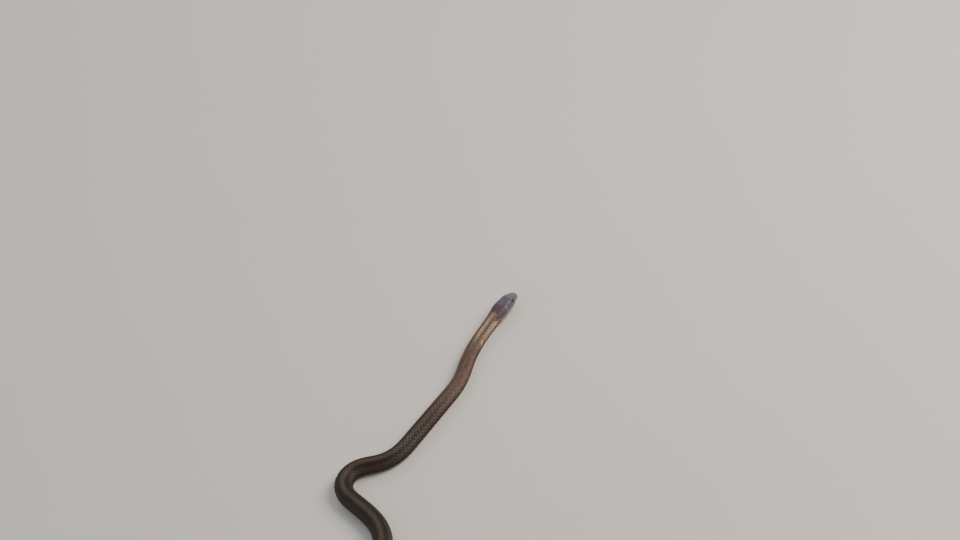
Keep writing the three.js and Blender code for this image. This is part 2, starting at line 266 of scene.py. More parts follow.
# Head chart: distance from the snout, and place from the middle of the crown (0) over the mouth (1) to the
# middle of the chin (2)
mouth = {
    "line": [(-2, 1.8), (3, 1.62), (8, 1.85), (13, 2.7), (16.6, 3.75)],
    "corner": 16.6,
    "depth": 0.42,
    "width": 0.13,
    "inset": 0.07,
    "insetReach": (0.2, 1.4),
    "shutEnd": (-0.5, 0.3),
    # limits of its share of the way round, and the share that it runs out to behind its corner
    "highest": 0.3,
    "lowest": 0.97,
    "rest": 0.5,
    "runsOut": 8,
    "tip": 0.1,
    # behind these distances it is no longer a level line across the snout
    "front": (0.12, 0.26),
    "seamEnd": 17.2,
    "tableEnd": 30,
    "tableSteps": 600,
    "fineHeight": 0.45,
    "fineReach": 0.6,
}
shields = {
    "rostral": [(-1, -0.1), (1.2, -0.1), (1.2, 0), (1.02, 0.3), (0.42, 0.5), (0.32, 1), (-1, 1)],
    "internasal": [(1.2, 0), (1.02, 0.3), (1.15, 0.42), (2.1, 0.42), (2.75, 0.36), (2.75, 0)],
    "frontNasal": [(0.42, 0.5), (1.02, 0.3), (1.15, 0.42), (1.95, 0.42), (1.95, 0.7), (0.42, 0.72)],
    "hindNasal": [(1.95, 0.42), (2.1, 0.42), (2.75, 0.36), (2.95, 0.4), (2.95, 0.72), (1.95, 0.7)],
    "prefrontal": [(2.75, 0), (2.75, 0.36), (2.95, 0.4), (3.9, 0.46), (4.6, 0.45), (5, 0.205), (5, 0)],
    "loreal": [(2.95, 0.4), (3.9, 0.46), (3.95, 0.77), (2.95, 0.72)],
    "preocular": [(3.9, 0.46), (4.6, 0.45), (5.3, 0.46), (5.3, 0.81), (3.95, 0.77)],
    "brow": [
        (5, 0.205), (4.6, 0.45), (5.3, 0.46), (6.4, 0.44), (7.6, 0.46), (8.45, 0.47), (8.75, 0.42), (8.6, 0.145),
    ],
    "frontal": [(5, 0), (5, 0.205), (8.6, 0.145), (9.95, 0), (8.6, -0.145), (5, -0.205)],
    "parietal": [(8.6, 0.145), (9.95, 0), (15.9, 0), (15.5, 0.24), (12.5, 0.44), (9.35, 0.5), (8.75, 0.42)],
    "upperPostocular": [(8.45, 0.47), (8.75, 0.42), (9.35, 0.5), (9.4, 0.6), (8, 0.58), (7.6, 0.46)],
    "middlePostocular": [(8, 0.58), (9.4, 0.6), (9.4, 0.71), (8, 0.7)],
    "lowerPostocular": [(8, 0.7), (9.4, 0.71), (9.4, 0.815), (7.95, 0.84), (7.2, 0.83)],
    "frontTemporal": [(9.35, 0.5), (12.5, 0.44), (12.75, 0.62), (12.6, 0.78), (9.4, 0.815)],
    "upperTemporal": [(12.5, 0.44), (15.5, 0.24), (15.9, 0.42), (15.7, 0.6), (12.75, 0.62)],
    "lowerTemporal": [(12.75, 0.62), (15.7, 0.6), (15.8, 0.8), (12.6, 0.78)],
    "firstLowerLip": [(0.3, 1), (0.45, 1.5), (1.3, 2), (1.3, 2.1), (2.1, 2.1), (2.1, 2), (1.7, 1.33), (1.7, 1)],
    "mental": [(-1, 1), (0.3, 1), (0.45, 1.5), (1.3, 2), (1.3, 2.1), (-1, 2.1)],
    "frontChin": [(2.1, 2), (1.7, 1.33), (3.3, 1.3), (6.6, 1.5), (7, 1.7), (7, 2)],
    "hindChin": [(7, 1.96), (7, 1.7), (6.6, 1.5), (7.3, 1.43), (10.4, 1.5), (11.6, 1.72), (11.2, 1.84)],
}
upperLips = {
    "ends": [0.32, 2.7, 4.35, 6.1, 8.05, 10.65, 13.4, 16.4],
    "tops": [
        (0.42, 0.72), (2.6, 0.715), (4.25, 0.78), (6.05, 0.83),
        (7.95, 0.84), (10.5, 0.8), (13.3, 0.785), (15.8, 0.8),
    ],
}
lowerLips = {
    "ends": [1.7, 3.2, 4.8, 6.6, 8.6, 10.8, 13, 15.3],
    "tops": [
        (1.7, 1.33), (3.2, 1.3), (4.8, 1.27), (6.6, 1.26),
        (8.6, 1.25), (10.8, 1.23), (13, 1.21), (15, 1.16),
    ],
}


def lipPlates(lips):
    plates = []
    for k in range(len(lips["ends"]) - 1):
        plates.append([(lips["ends"][k], 1), lips["tops"][k], lips["tops"][k + 1], (lips["ends"][k + 1], 1)])
    return plates


headPlates = list(shields.values()) + lipPlates(upperLips) + lipPlates(lowerLips)
farAway = 9.0  # past every reach that counts


# Distance in millimetres into a plate of the chart: places are stretched by the local arc length
def insidePlate(outline, s, place, stretch):
    nearest = np.full(s.shape, farAway)
    inside = np.zeros(s.shape, bool)
    for k in range(len(outline)):
        s0, c0 = outline[k - 1]
        s1, c1 = outline[k]
        alongS, alongC = s1 - s0, (c1 - c0) * stretch
        fromS, fromC = s - s0, (place - c0) * stretch
        t = np.clip((fromS * alongS + fromC * alongC) / np.maximum(alongS**2 + alongC**2, tiny), 0, 1)
        nearest = np.minimum(nearest, np.hypot(fromS - t * alongS, fromC - t * alongC))
        crosses = ((c0 > place) != (c1 > place)) & (s < s0 + (place - c0) * (s1 - s0) / ((c1 - c0) or tiny))
        inside ^= crosses
    return np.where(inside, nearest, -nearest)


# The skin: a fine sheet for the head and a coarser one for the body, each the half that is then mirrored
skinShape = {
    "snoutRings": 22,
    "headStep": 0.16,
    "headEnd": 17,
    "napeEnd": 22,
    "stepGrowth": 1.14,
    "bodyStep": 2,
    "tailEnd": 597,
    "tipRings": 9,
    "aboveMouth": 60,
    "belowMouth": 36,
    "crowding": 1.22,
    "coarser": 3,
    "rise": 0.2,
    "browRise": 0.34,
    "browSlope": 3,
    "chinRise": 0.65,
    "chinFrom": (1.15, 1.5),
    "hindDrop": 0.45,
    "hindEdge": (13.5, 15.8),
    "seam": 0.14,
    "placeScale": 8,
    "cutReach": 0.34,
    "cutSnap": 0.02,
    "slack": 1e-6,
    "thinnest": 1e-4,
    "mergeWithin": 2e-7,
    "dropBelow": 1e-6,
}
eye = {"along": 6.4, "height": 4.5, "side": 3.1, "long": 1.62, "deep": 0.95, "tall": 1.55, "forward": 15, "up": 14}
socket = {"sunk": -0.35, "rimDrop": 0.3, "rimWidth": 0.45, "bore": 1.2, "fine": 0.2}
nostril = {
    "along": 1.95,
    "height": 3.35,
    "radius": 0.34,
    "depth": 0.5,
    "rim": 0.08,
    # in radii: where the rim rises and falls, and how far round it the skin is finer
    "rimRise": (0.9, 1.1),
    "rimFall": (1.3, 2.1),
    "fine": 2.4,
}


# Rings of the sheet: even on the head, round at both ends, and wider apart on the body
def skinStations():
    curve = np.linspace(0, pi / 2, skinShape["snoutRings"])
    stations = list(sectionShape["snoutRound"] * (1 - np.cos(curve)))
    step = skinShape["headStep"]
    while stations[-1] < skinShape["tailEnd"]:
        stations.append(stations[-1] + step)
        if stations[-1] > skinShape["headEnd"]:
            step = min(step * skinShape["stepGrowth"], skinShape["bodyStep"])
    curve = np.linspace(0, pi / 2, skinShape["tipRings"])
    left = snake["length"] - stations[-1]
    stations = np.array(stations + list(stations[-1] + left * np.sin(curve[1:])))
    split = np.searchsorted(stations, skinShape["napeEnd"])
    return stations[:split + 1], stations[split:]


# Rows of the sheet from the crown to the chin, closer together near the mouth
def chartPlaces():
    above = 1 - (1 - np.linspace(0, 1, skinShape["aboveMouth"] + 1)) ** skinShape["crowding"]
    below = 1 + np.linspace(0, 1, skinShape["belowMouth"] + 1)[1:] ** skinShape["crowding"]
    return np.r_[above, below]


# Where the mouth line lies, as a share of the way round. The round tip of the snout is all above it
def mouthShares(s):
    arcs, ups = arcsAt(s)
    height = between(mouth["line"], s)[:, None]
    below = ups < height
    reached = np.where(below.any(-1), np.argmax(below, -1), ups.shape[-1] - 1)
    share = arcs[np.arange(len(s)), reached] / np.maximum(arcs[:, -1], tiny)
    past = smoothstep(s, mouth["corner"], mouth["corner"] + mouth["runsOut"])
    share = np.clip(share, mouth["highest"], mouth["lowest"])
    share = np.where(s < mouth["tip"], mouth["lowest"], share)
    return share * (1 - past) + mouth["rest"] * past


mouthStations = np.linspace(0, mouth["tableEnd"], mouth["tableSteps"] + 1)
mouthTable = mouthShares(mouthStations)


# Share of the way round for a chart place, and the millimetres that one unit of place spans
def chartShare(s, place):
    atMouth = np.interp(s, mouthStations, mouthTable)
    above = place <= 1
    share = np.where(above, place * atMouth, atMouth + (place - 1) * (1 - atMouth))
    return share, np.where(above, atMouth, 1 - atMouth) * halfRoundAt(s)


# Middle of an eye in the straightened animal, with its axes: along, outwards and up
def eyeAxes(side):
    forward = Matrix.Rotation(radians(eye["forward"] * side), 3, "Z")
    axes = np.array(forward @ Matrix.Rotation(radians(eye["up"] * side), 3, "X")).T
    axes[1] *= side
    centre = np.array([eye["along"], eye["side"] * side, eye["height"] + liftAt(eye["along"])])
    return centre, axes


# How far a point lies from the middle of the eye, in radii of it
def eyeReach(points):
    centre, axes = eyeAxes(1)
    local = (points - centre) @ axes.T
    reach = np.hypot(local[:, 0] / eye["long"], local[:, 2] / eye["tall"])
    return np.where(local[:, 1] > -socket["bore"], reach, farAway)


# The same for the nostril
def nostrilReach(points):
    centre = np.array([nostril["along"], nostril["height"] + liftAt(nostril["along"])])
    offset = (points[:, [0, 2]] - centre) / nostril["radius"]
    return np.hypot(offset[:, 0], offset[:, 1])


# Where an edge of the sheet crosses the line of value 1, its nearer end belongs on the line
def nearLine(value, edges):
    first, second = edges.T
    crosses = (value[first] < 1) != (value[second] < 1)
    firstNearer = np.abs(value[first] - 1) <= np.abs(value[second] - 1)
    near = np.zeros(value.shape, bool)
    near[first[crosses & firstNearer]] = True
    near[second[crosses & ~firstNearer]] = True
    return near


def digSocket(points, edges):
    centre, axes = eyeAxes(1)
    local = (points - centre) @ axes.T
    reach = eyeReach(points)
    line = nearLine(reach, edges)
    scale = np.where(line, 1 / np.maximum(reach, tiny), 1)
    drop = socket["rimDrop"] * (1 - smoothstep(reach, 1, 1 + socket["rimWidth"]))
    out = local[:, 1]
    out = np.where(line, out - socket["rimDrop"], np.where(reach > 1, out - drop, socket["sunk"]))
    moved = np.stack([local[:, 0] * scale, out, local[:, 2] * scale], -1) @ axes + centre
    return np.where((reach < 1 + socket["rimWidth"])[:, None], moved, points)


def digNostril(points, edges):
    reach = nostrilReach(points)
    line = nearLine(reach, edges)
    inward = nostril["depth"] * np.where(line, 0, 1 - smoothstep(reach, 0, 1))
    outward = nostril["rim"] * (smoothstep(reach, *nostril["rimRise"]) - smoothstep(reach, *nostril["rimFall"]))
    moved = points.copy()
    moved[:, 1] += outward - np.where(reach < 1, inward, 0)
    return moved


def addAttribute(mesh, name, values):
    attribute = mesh.attributes.new(name, "FLOAT_VECTOR", "POINT")
    attribute.data.foreach_set("vector", np.ascontiguousarray(values, np.float32).ravel())


def addObject(mesh):
    piece = bpy.data.objects.new(mesh.name, mesh)
    bpy.context.scene.collection.objects.link(piece)
    return piece


# A flat half sheet: x is the distance from the snout, y the place times the sheet's scale
def flatSheet(stations, places):
    bm = bmesh.new()
    columns, rows = len(stations) - 1, len(places) - 1
    bmesh.ops.create_grid(bm, x_segments=columns, y_segments=rows, size=1)
    for v in bm.verts:
        station = stations[round((v.co.x + 1) / 2 * columns)]
        place = places[round((v.co.y + 1) / 2 * rows)]
        v.co = Vector((station, place * skinShape["placeScale"], 0))
    return bm


# Cuts the faces near a line of the chart along the line and beside it, so that seams have clean edges
def cutAlong(bm, start, end, offsets):
    scale = skinShape["placeScale"]
    stretch = float(chartShare((start[0] + end[0]) / 2, np.array((start[1] + end[1]) / 2))[1])
    alongX, alongY = end[0] - start[0], (end[1] - start[1]) * stretch
    length = hypot(alongX, alongY)
    low, high = min(start[0], end[0]) - 1, max(start[0], end[0]) + 1
    faces = []
    for face in bm.faces:
        if not low < face.verts[0].co.x < high:
            continue
        centre = face.calc_center_median()
        x, y = centre.x - start[0], (centre.y / scale - start[1]) * stretch
        t = min(1, max(0, (x * alongX + y * alongY) / length**2))
        if hypot(x - t * alongX, y - t * alongY) < skinShape["cutReach"]:
            faces.append(face)
    geometry = faces + list(dict.fromkeys(e for f in faces for e in f.edges))
    geometry += list(dict.fromkeys(v for f in faces for v in f.verts))
    normal = Vector((-(end[1] - start[1]) * scale, end[0] - start[0], 0)).normalized()
    for offset in offsets:
        x = start[0] - alongY / length * offset
        y = (start[1] + alongX / length * offset / stretch) * scale
        cut = bmesh.ops.bisect_plane(
            bm, geom=geometry, dist=skinShape["cutSnap"], plane_co=(x, y, 0), plane_no=normal, use_snap_center=True
        )
        geometry = cut["geom"]


# Cuts every line between plates once, and the mouth, then puts the sheet's two edges back on their lines
def cutSeams(bm):
    lines = set()
    for plate in headPlates:
        for k in range(len(plate)):
            start, end = sorted((plate[k - 1], plate[k]))
            onMouth = start[1] == 1 and end[1] == 1
            if not onMouth and min(start[1], end[1]) >= 0 and end[0] > 0:
                lines.add((start, end))
    seam = skinShape["seam"]
    offsets = [seam, -seam, seam / 2, -seam / 2, 0]
    for start, end in sorted(lines):
        cutAlong(bm, start, end, offsets)
    cutAlong(bm, (0, 1), (mouth["seamEnd"], 1), [2 * seam, -2 * seam] + offsets)
    bmesh.ops.dissolve_degenerate(bm, edges=bm.edges, dist=skinShape["thinnest"])
    top = 2 * skinShape["placeScale"]
    for v in bm.verts:
        if abs(v.co.y) < 2 * skinShape["cutSnap"]:
            v.co.y = 0
        if abs(v.co.y - top) < 2 * skinShape["cutSnap"]:
            v.co.y = top


# How far a height is from the mouth line
def offMouth(s, up):
    return np.abs(up - liftAt(s) - between(mouth["line"], s))


# Points of the skin at places of the chart, as distance, right and up, and what its materials read
def skinAt(s, place):
    share, stretch = chartShare(s, place)
    inside = np.full(s.shape, -farAway)
    browInside = inside.copy()
    head = s < mouth["corner"] + 1
    for plate in headPlates:
        distance = insidePlate(plate, s[head], place[head], stretch[head])
        inside[head] = np.maximum(inside[head], distance)
        if plate is shields["brow"]:
            browInside[head] = distance
    plateau = smoothstep(inside, 0, skinShape["seam"])
    browTop = smoothstep(browInside, 0, skinShape["browSlope"] * skinShape["seam"])

    # across the front of the snout the mouth is a level line, so its distance there is a height
    angle = angleAt(np.maximum(s, tables["step"]), share)
    beside = smoothstep(s, *mouth["front"])
    level = offMouth(s, surfacePoint(s, angle, 0)[2])
    plateau = plateau * beside + smoothstep(level, 0, skinShape["seam"]) * (1 - beside)

    above = place <= 1
    fade = np.where(above, smoothstep(s, *coat["napeFrom"]), smoothstep(s, *coat["throatFrom"]))
    ground = -coatGround(s) * fade * (1 - smoothstep(inside, -coat["plateFoot"], 0))
    rise = skinShape["rise"] + (skinShape["browRise"] - skinShape["rise"]) * browTop
    rise = rise * (1 - (1 - skinShape["chinRise"]) * smoothstep(place, *skinShape["chinFrom"]) * beside)
    rise = rise * (1 - skinShape["hindDrop"] * smoothstep(s, *skinShape["hindEdge"]))
    out = ground + (rise - ground) * plateau
    fromMouth = np.abs(place - 1) * stretch * beside + level * (1 - beside)
    shutEnd = 1 - smoothstep(s - mouth["corner"], *mouth["shutEnd"])
    groove = np.exp(-((fromMouth / mouth["width"]) ** 2)) * shutEnd
    inset = beside * shutEnd * (1 - smoothstep(fromMouth, *mouth["insetReach"]))
    out = out - mouth["depth"] * groove - np.where(above, 0, mouth["inset"] * inset)
    # on the round tip of the snout the shields rise forward
    forward = np.clip(1 - s / sectionShape["snoutRound"], 0, 1)
    points = np.stack(surfacePoint(s, angle, out * np.sqrt(1 - forward**2)), -1)
    points[:, 0] -= out * forward
    values = {
        "place": np.stack([s, share, 0.5 + 0 * s], -1),
        "form": np.stack([plateau * (1 - groove), place, groove], -1),
    }
    return points, values


def sheetPlaces(bm):
    flat = np.array([v.co.xy for v in bm.verts])
    return flat[:, 0], flat[:, 1] / skinShape["placeScale"]


# Adds the sheet and its mirrored copy to the skin
def addSheet(skin, bm, points, values):
    faces = [[v.index for v in face.verts] for face in bm.faces]
    for side in (1, -1):
        mesh = bpy.data.meshes.new("sheet")
        sided = besideRoute(points[:, 0], points[:, 1] * side, points[:, 2]) * mm
        mesh.from_pydata(sided.tolist(), [], [face[::side] for face in faces])
        for name, value in values.items():
            addAttribute(mesh, name, value)
        skin.from_mesh(mesh)
        bpy.data.meshes.remove(mesh)


# The head's sheet is three times as fine round as the body's: at its last ring the extra columns close up
def makeSkin():
    headStations, bodyStations = skinStations()
    places = chartPlaces()
    body = flatSheet(bodyStations, places[::skinShape["coarser"]])
    head = flatSheet(headStations, places)
    cutSeams(head)
    stations, headPlaces = sheetPlaces(head)
    points = skinAt(stations, headPlaces)[0]
    rims = (np.abs(eyeReach(points) - 1) < socket["fine"]) | (nostrilReach(points) < nostril["fine"])
    rims |= (offMouth(stations, points[:, 2]) < mouth["fineHeight"]) & (stations < mouth["fineReach"])
    head.verts.index_update()
    fine = [e for e in head.edges if rims[e.verts[0].index] and rims[e.verts[1].index]]
    bmesh.ops.subdivide_edges(head, edges=fine, cuts=1, use_grid_fill=True)
    bmesh.ops.triangulate(head, faces=head.faces)

    skin = bmesh.new()
    for bm in (body, head):
        bm.verts.index_update()
        s, place = sheetPlaces(bm)
        points, values = skinAt(s, place)
        if bm is body:
            joins = s < bodyStations[0] + skinShape["slack"]
            ring = points[joins][np.argsort(place[joins])]
        else:
            edges = np.array([[v.index for v in e.verts] for e in bm.edges])
            points = digNostril(digSocket(points, edges), edges)
            joins = s > headStations[-1] - skinShape["slack"]
            column = np.searchsorted(places, place[joins] - skinShape["slack"])
            points[joins] = ring[np.rint(column / skinShape["coarser"]).astype(int)]
        addSheet(skin, bm, points, values)
        bm.free()
    bmesh.ops.remove_doubles(skin, verts=skin.verts, dist=skinShape["mergeWithin"])
    bmesh.ops.dissolve_degenerate(skin, edges=skin.edges, dist=skinShape["dropBelow"])
    bmesh.ops.recalc_face_normals(skin, faces=skin.faces)
    for face in skin.faces:
        face.smooth = True
    mesh = bpy.data.meshes.new("skin")
    skin.to_mesh(mesh)
    skin.free()
    return addObject(mesh)


# How every scale lies on its site, and on the baked map
lay = {
    "site": 0.3,  # the share of its length ahead of its site
    "keelWidth": 0.16,  # to one side, as a share of half the scale
    "keelRises": 0.25,  # over this share of the length
    "patch": 0.0015,
    "mapHalf": 0.49,
}
# Scales: length and width as shares of the spacing of their rows, heights as shares of the coat's depth
scaleShape = {
    "along": [0, 0.2, 0.45, 0.68, 0.86, 0.96, 1],
    "halfWidth": [0.62, 0.88, 1, 0.9, 0.62, 0.34, 0.1],
    "across": [-1, -0.62, -0.16, 0, 0.16, 0.62, 1],
    "lengthShare": 1.5,
    "widthShare": 1.78,
    "root": -0.2,
    "tip": 0.84,
    "crown": 0.1,
    "edgeDrop": 0.1,
    "keel": 0.3,
    "thickness": 0.16,
}
scuteShape = {
    "along": [0, 0.45, 0.8, 0.95, 1],
    "halfWidth": [0.96, 1, 1, 0.985, 0.96],
    "across": list(np.linspace(-1, 1, 19)),
    "lengthShare": 1.34,
    "widthShare": 1.14,
    "root": 0.05,
    "tip": 1,
    "crown": 0,
    "edgeDrop": 0.18,
    "keel": 0,
    "thickness": 0.22,
}
halfScuteShape = dict(scuteShape, across=list(np.linspace(-1, 1, 9)), widthShare=1.12)


# One closed scale: x from root to tip, y across, z the height, and the keel apart
def scaleStencil(shape):
    columns, rows = len(shape["along"]), len(shape["across"])
    bm = bmesh.new()
    bmesh.ops.create_grid(bm, x_segments=columns - 1, y_segments=rows - 1, size=1)
    keelLayer = bm.verts.layers.float.new("keel")
    underside = list(bm.faces)
    for v in bm.verts:
        i = round((v.co.x + 1) / 2 * (columns - 1))
        j = round((v.co.y + 1) / 2 * (rows - 1))
        x = shape["along"][i]
        y = shape["across"][j]
        height = shape["root"] + (shape["tip"] - shape["root"]) * x
        height += shape["crown"] * (1 - y * y) - shape["edgeDrop"] * abs(y) ** 3
        v.co = Vector((x, y * shape["halfWidth"][i], height - shape["thickness"]))
        v[keelLayer] = shape["keel"] * min(1, x / lay["keelRises"]) * max(0, 1 - abs(y) / lay["keelWidth"])
    top = bmesh.ops.extrude_face_region(bm, geom=underside)["geom"]
    topVerts = [g for g in top if isinstance(g, bmesh.types.BMVert)]
    bmesh.ops.translate(bm, verts=topVerts, vec=(0, 0, shape["thickness"]))
    topFaces = {g for g in top if isinstance(g, bmesh.types.BMFace)}
    for face in bm.faces:
        face.smooth = face in topFaces
    kept = [f for f in underside if f.is_valid]
    for v in {v for f in kept for v in f.verts}:
        v[keelLayer] = 0
    bmesh.ops.dissolve_faces(bm, faces=kept)
    bmesh.ops.recalc_face_normals(bm, faces=bm.faces)
    bm.verts.index_update()
    stencil = {
        "points": np.array([v.co for v in bm.verts]),
        "keel": np.array([v[keelLayer] for v in bm.verts]),
        "faces": [[v.index for v in f.verts] for f in bm.faces],
        "smooth": [f.smooth for f in bm.faces],
    }
    bm.free()
    return stencil


# Joins a copy of the stencil at every site: columns are distance, share, length, width, height, keel, grain, order
def makeCoat(name, shape, sites):
    stencil = scaleStencil(shape)
    x, y, z = stencil["points"].T
    s, share, length, width, height, keel, grain, order = (np.array(column)[:, None] for column in zip(*sites))
    along = s + (x - lay["site"]) * length
    around = share + y * width / 2 / halfRoundAt(along)
    out = -coatGround(along) + height * (z + keel * stencil["keel"])
    points = onSnake(along, angleAt(along, around), out)

    count = len(sites)
    size = len(x)
    loops = np.concatenate(stencil["faces"])
    sizes = np.array([len(face) for face in stencil["faces"]])
    starts = np.r_[0, np.cumsum(sizes)[:-1]]
    mesh = bpy.data.meshes.new(name)
    mesh.vertices.add(count * size)
    mesh.vertices.foreach_set("co", points.astype(np.float32).ravel())
    mesh.loops.add(count * len(loops))
    corners = (loops[None, :] + size * np.arange(count)[:, None]).ravel()
    mesh.loops.foreach_set("vertex_index", corners.astype(np.int32))
    mesh.polygons.add(count * len(sizes))
    allStarts = (starts[None, :] + len(loops) * np.arange(count)[:, None]).ravel()
    mesh.polygons.foreach_set("loop_start", allStarts.astype(np.int32))
    mesh.update(calc_edges=True)
    mesh.polygons.foreach_set("use_smooth", np.tile(stencil["smooth"], count))
    nearer = np.minimum(np.abs(share), 2 - np.abs(share))
    for attribute, columns in (("place", (s, nearer, grain)), ("form", (x, np.abs(y), stencil["keel"] > 0))):
        values = [np.broadcast_to(column, (count, size)) for column in columns]
        addAttribute(mesh, attribute, np.stack(values, -1))
    u = order + lay["patch"] * (2 * x - 1)
    v = 0.5 + lay["mapHalf"] * np.clip(np.where(share > 1, 2 - share, share), -1, 1) + lay["patch"] * y
    uv = np.stack([u, v], -1).reshape(-1, 2)[corners]
    mesh.uv_layers.new(name="OFBake").data.foreach_set("uv", uv.astype(np.float32).ravel())
    mesh.validate()
    return addObject(mesh)


# Rows run the length of the snake. Each row's width fades out where the species loses that row
rows = {
    "pitch": [
        (0, 1.5), (16, 1.75), (24, 2.05), (40, 2.5), (60, 2.8), (455, 2.85), (462, 2.5), (520, 2.1), (600, 1.5),
    ],
    "first": 5,
    "last": 597.5,
    "ends": {7: 292, 6: 461, 8: 465, 5: 474, 4: 500, 3: 532, 2: 563, 1: 588},
    "fading": 12,
    "goneBy": 2,
    "slimmest": 0.35,
    "outermost": 9,
    "throatRows": 16,
    "outermostWidth": 1.25,
    "keelFrom": (17, 26),
    "grown": (8, 15.5),
    "smallest": 0.55,
    "flankKeel": {8: 0.6, 9: 0.25},
    "headReach": 1.5,
    "headTop": 14.9,
    "underPlate": 0.22,
    "throatStart": 5,
    "lipClear": (1, 0.35),
    "lipsEnd": 16,
    "scutesFrom": 16.6,
    "scutesFull": 24,
    "firstScute": 0.3,
    "overScute": 0.2,
    "pastBelly": 1.01,
    "ventGap": 0.4,
    "ventPlate": 3.6,
    "tailScutes": 457.6,
    "seed": 7,
}


# Distances from the snout at which a scale starts in every second row
def rowStations():
    stations = [rows["first"]]
    while stations[-1] < rows["last"]:
        stations.append(stations[-1] + float(between(rows["pitch"], stations[-1])))
    return np.array(stations)


# Widths of the rows from the back to the flank, as shares of a full row
def rowWidths(s):
    widths = [1.0]
    for row in range(1, rows["outermost"] + 1):
        width = 1.0 if row < rows["outermost"] else rows["outermostWidth"]
        if row in rows["ends"]:
            end = rows["ends"][row]
            width *= 1 - float(smoothstep(s, end - rows["fading"], end + rows["goneBy"]))
        widths.append(width)
    return widths


# One site for each scale: its place and size, and a random number that its colour reads
def scaleSites(stations, dice):
    sites = []
    for k, station in enumerate(stations):
        pitch = float(between(rows["pitch"], station))
        for row in range(-rows["throatRows"], rows["throatRows"] + 1):
            s = station + (pitch / 2 if row % 2 else 0)
            grain = dice.random()
            widths = rowWidths(s)
            edge = float(scuteEdgeAt(s))
            unit = edge / (widths[0] / 2 + sum(widths[1:]))
            n = abs(row)
            if n > rows["outermost"]:
                share = edge + (n - rows["outermost"] - 0.5) * unit
                width = 1
            else:
                width = widths[n]
                share = 0 if n == 0 else (widths[0] / 2 + sum(widths[1:n]) + width / 2) * unit
            if width < rows["slimmest"] or s > rows["last"] or not scaleGrows(s, share, edge, n):
                continue
            rowWidth = width * unit * float(halfRoundAt(s))
            grown = rows["smallest"] + (1 - rows["smallest"]) * float(smoothstep(s, *rows["grown"]))
            keel = float(smoothstep(s, *rows["keelFrom"])) * rows["flankKeel"].get(n, 1) * (n <= rows["outermost"])
            order = (k + 0.5 + (0.5 if row % 2 else 0)) / (len(stations) + 1)
            length, width = pitch * scaleShape["lengthShare"], rowWidth * scaleShape["widthShare"]
            sites.append((s, share * np.sign(row), length, width, float(coatDepth(s)) * grown, keel, grain, order))
    return sites


# The first belly scutes are narrow: the width of a scute as a share of its full width
def scuteSpread(s):
    if s < rows["scutesFrom"]:
        return 0
    wider = float(smoothstep(s, rows["scutesFrom"], rows["scutesFull"]))
    return rows["firstScute"] + (1 - rows["firstScute"]) * wider


# Behind the shields above, between the chin shields below, and beside the belly scutes
def scaleGrows(s, share, edge, row):
    if share > rows["pastBelly"]:
        return False
    belly = 1 - (1 - edge) * max(0, scuteSpread(s) - rows["overScute"])
    if row > rows["outermost"] and (share > belly or s > rows["scutesFull"]):
        return False
    if s < mouth["corner"] + rows["headReach"]:
        atMouth = float(np.interp(s, mouthStations, mouthTable))
        above = share < atMouth
        place = share / atMouth if above else 1 + (share - atMouth) / (1 - atMouth)
        stretch = float(halfRoundAt(s)) * (atMouth if above else 1 - atMouth)
        if s < (rows["headTop"] if above else rows["throatStart"]):
            return False
        for plate in headPlates:
            if insidePlate(plate, np.array([s]), np.array([place]), stretch)[0] > rows["underPlate"]:
                return False
        if abs(place - 1) * stretch < rows["lipClear"][above] and s < rows["lipsEnd"]:
            return False
    return True


# One scute a station across the belly, and a wide plate at the vent
def scuteSites(stations, dice):
    sites = []
    for k, s in enumerate(stations):
        if not rows["scutesFrom"] < s < snake["ventAt"]:
            continue
        pitch = float(between(rows["pitch"], s))
        edge = float(scuteEdgeAt(s))
        width = 2 * (1 - edge) * float(halfRoundAt(s)) * scuteSpread(s) * scuteShape["widthShare"]
        length = pitch * scuteShape["lengthShare"]
        order = (k + 0.5) / (len(stations) + 1)
        sites.append((s, 1, length, width, float(coatDepth(s)), 0, dice.random(), order))
    s = snake["ventAt"] + rows["ventGap"]
    width = 2 * (1 - float(scuteEdgeAt(s))) * float(halfRoundAt(s))
    order = (np.searchsorted(stations, s) + 0.5) / (len(stations) + 1)
    sites.append((s, 1, rows["ventPlate"] * scuteShape["lengthShare"], width, float(coatDepth(s)), 0, 0.5, order))
    return sites


# Under the tail the scutes lie in pairs, half a step apart
def tailScuteSites(stations, dice):
    sites = []
    for k, station in enumerate(stations):
        pitch = float(between(rows["pitch"], station))
        for side in (1, -1):
            s = station + (pitch / 2 if side > 0 else 0)
            if not rows["tailScutes"] < s < rows["last"]:
                continue
            edge = float(scuteEdgeAt(s))
            width = (1 - edge) * float(halfRoundAt(s)) * halfScuteShape["widthShare"]
            length = pitch * halfScuteShape["lengthShare"]
            order = (k + 0.5) / (len(stations) + 1)
            share = side * (1 - (1 - edge) / 2)
            sites.append((s, share, length, width, float(coatDepth(s)), 0, dice.random(), order))
    return sites


eyeShape = {"around": 96, "rings": 72, "fullness": 2.5}


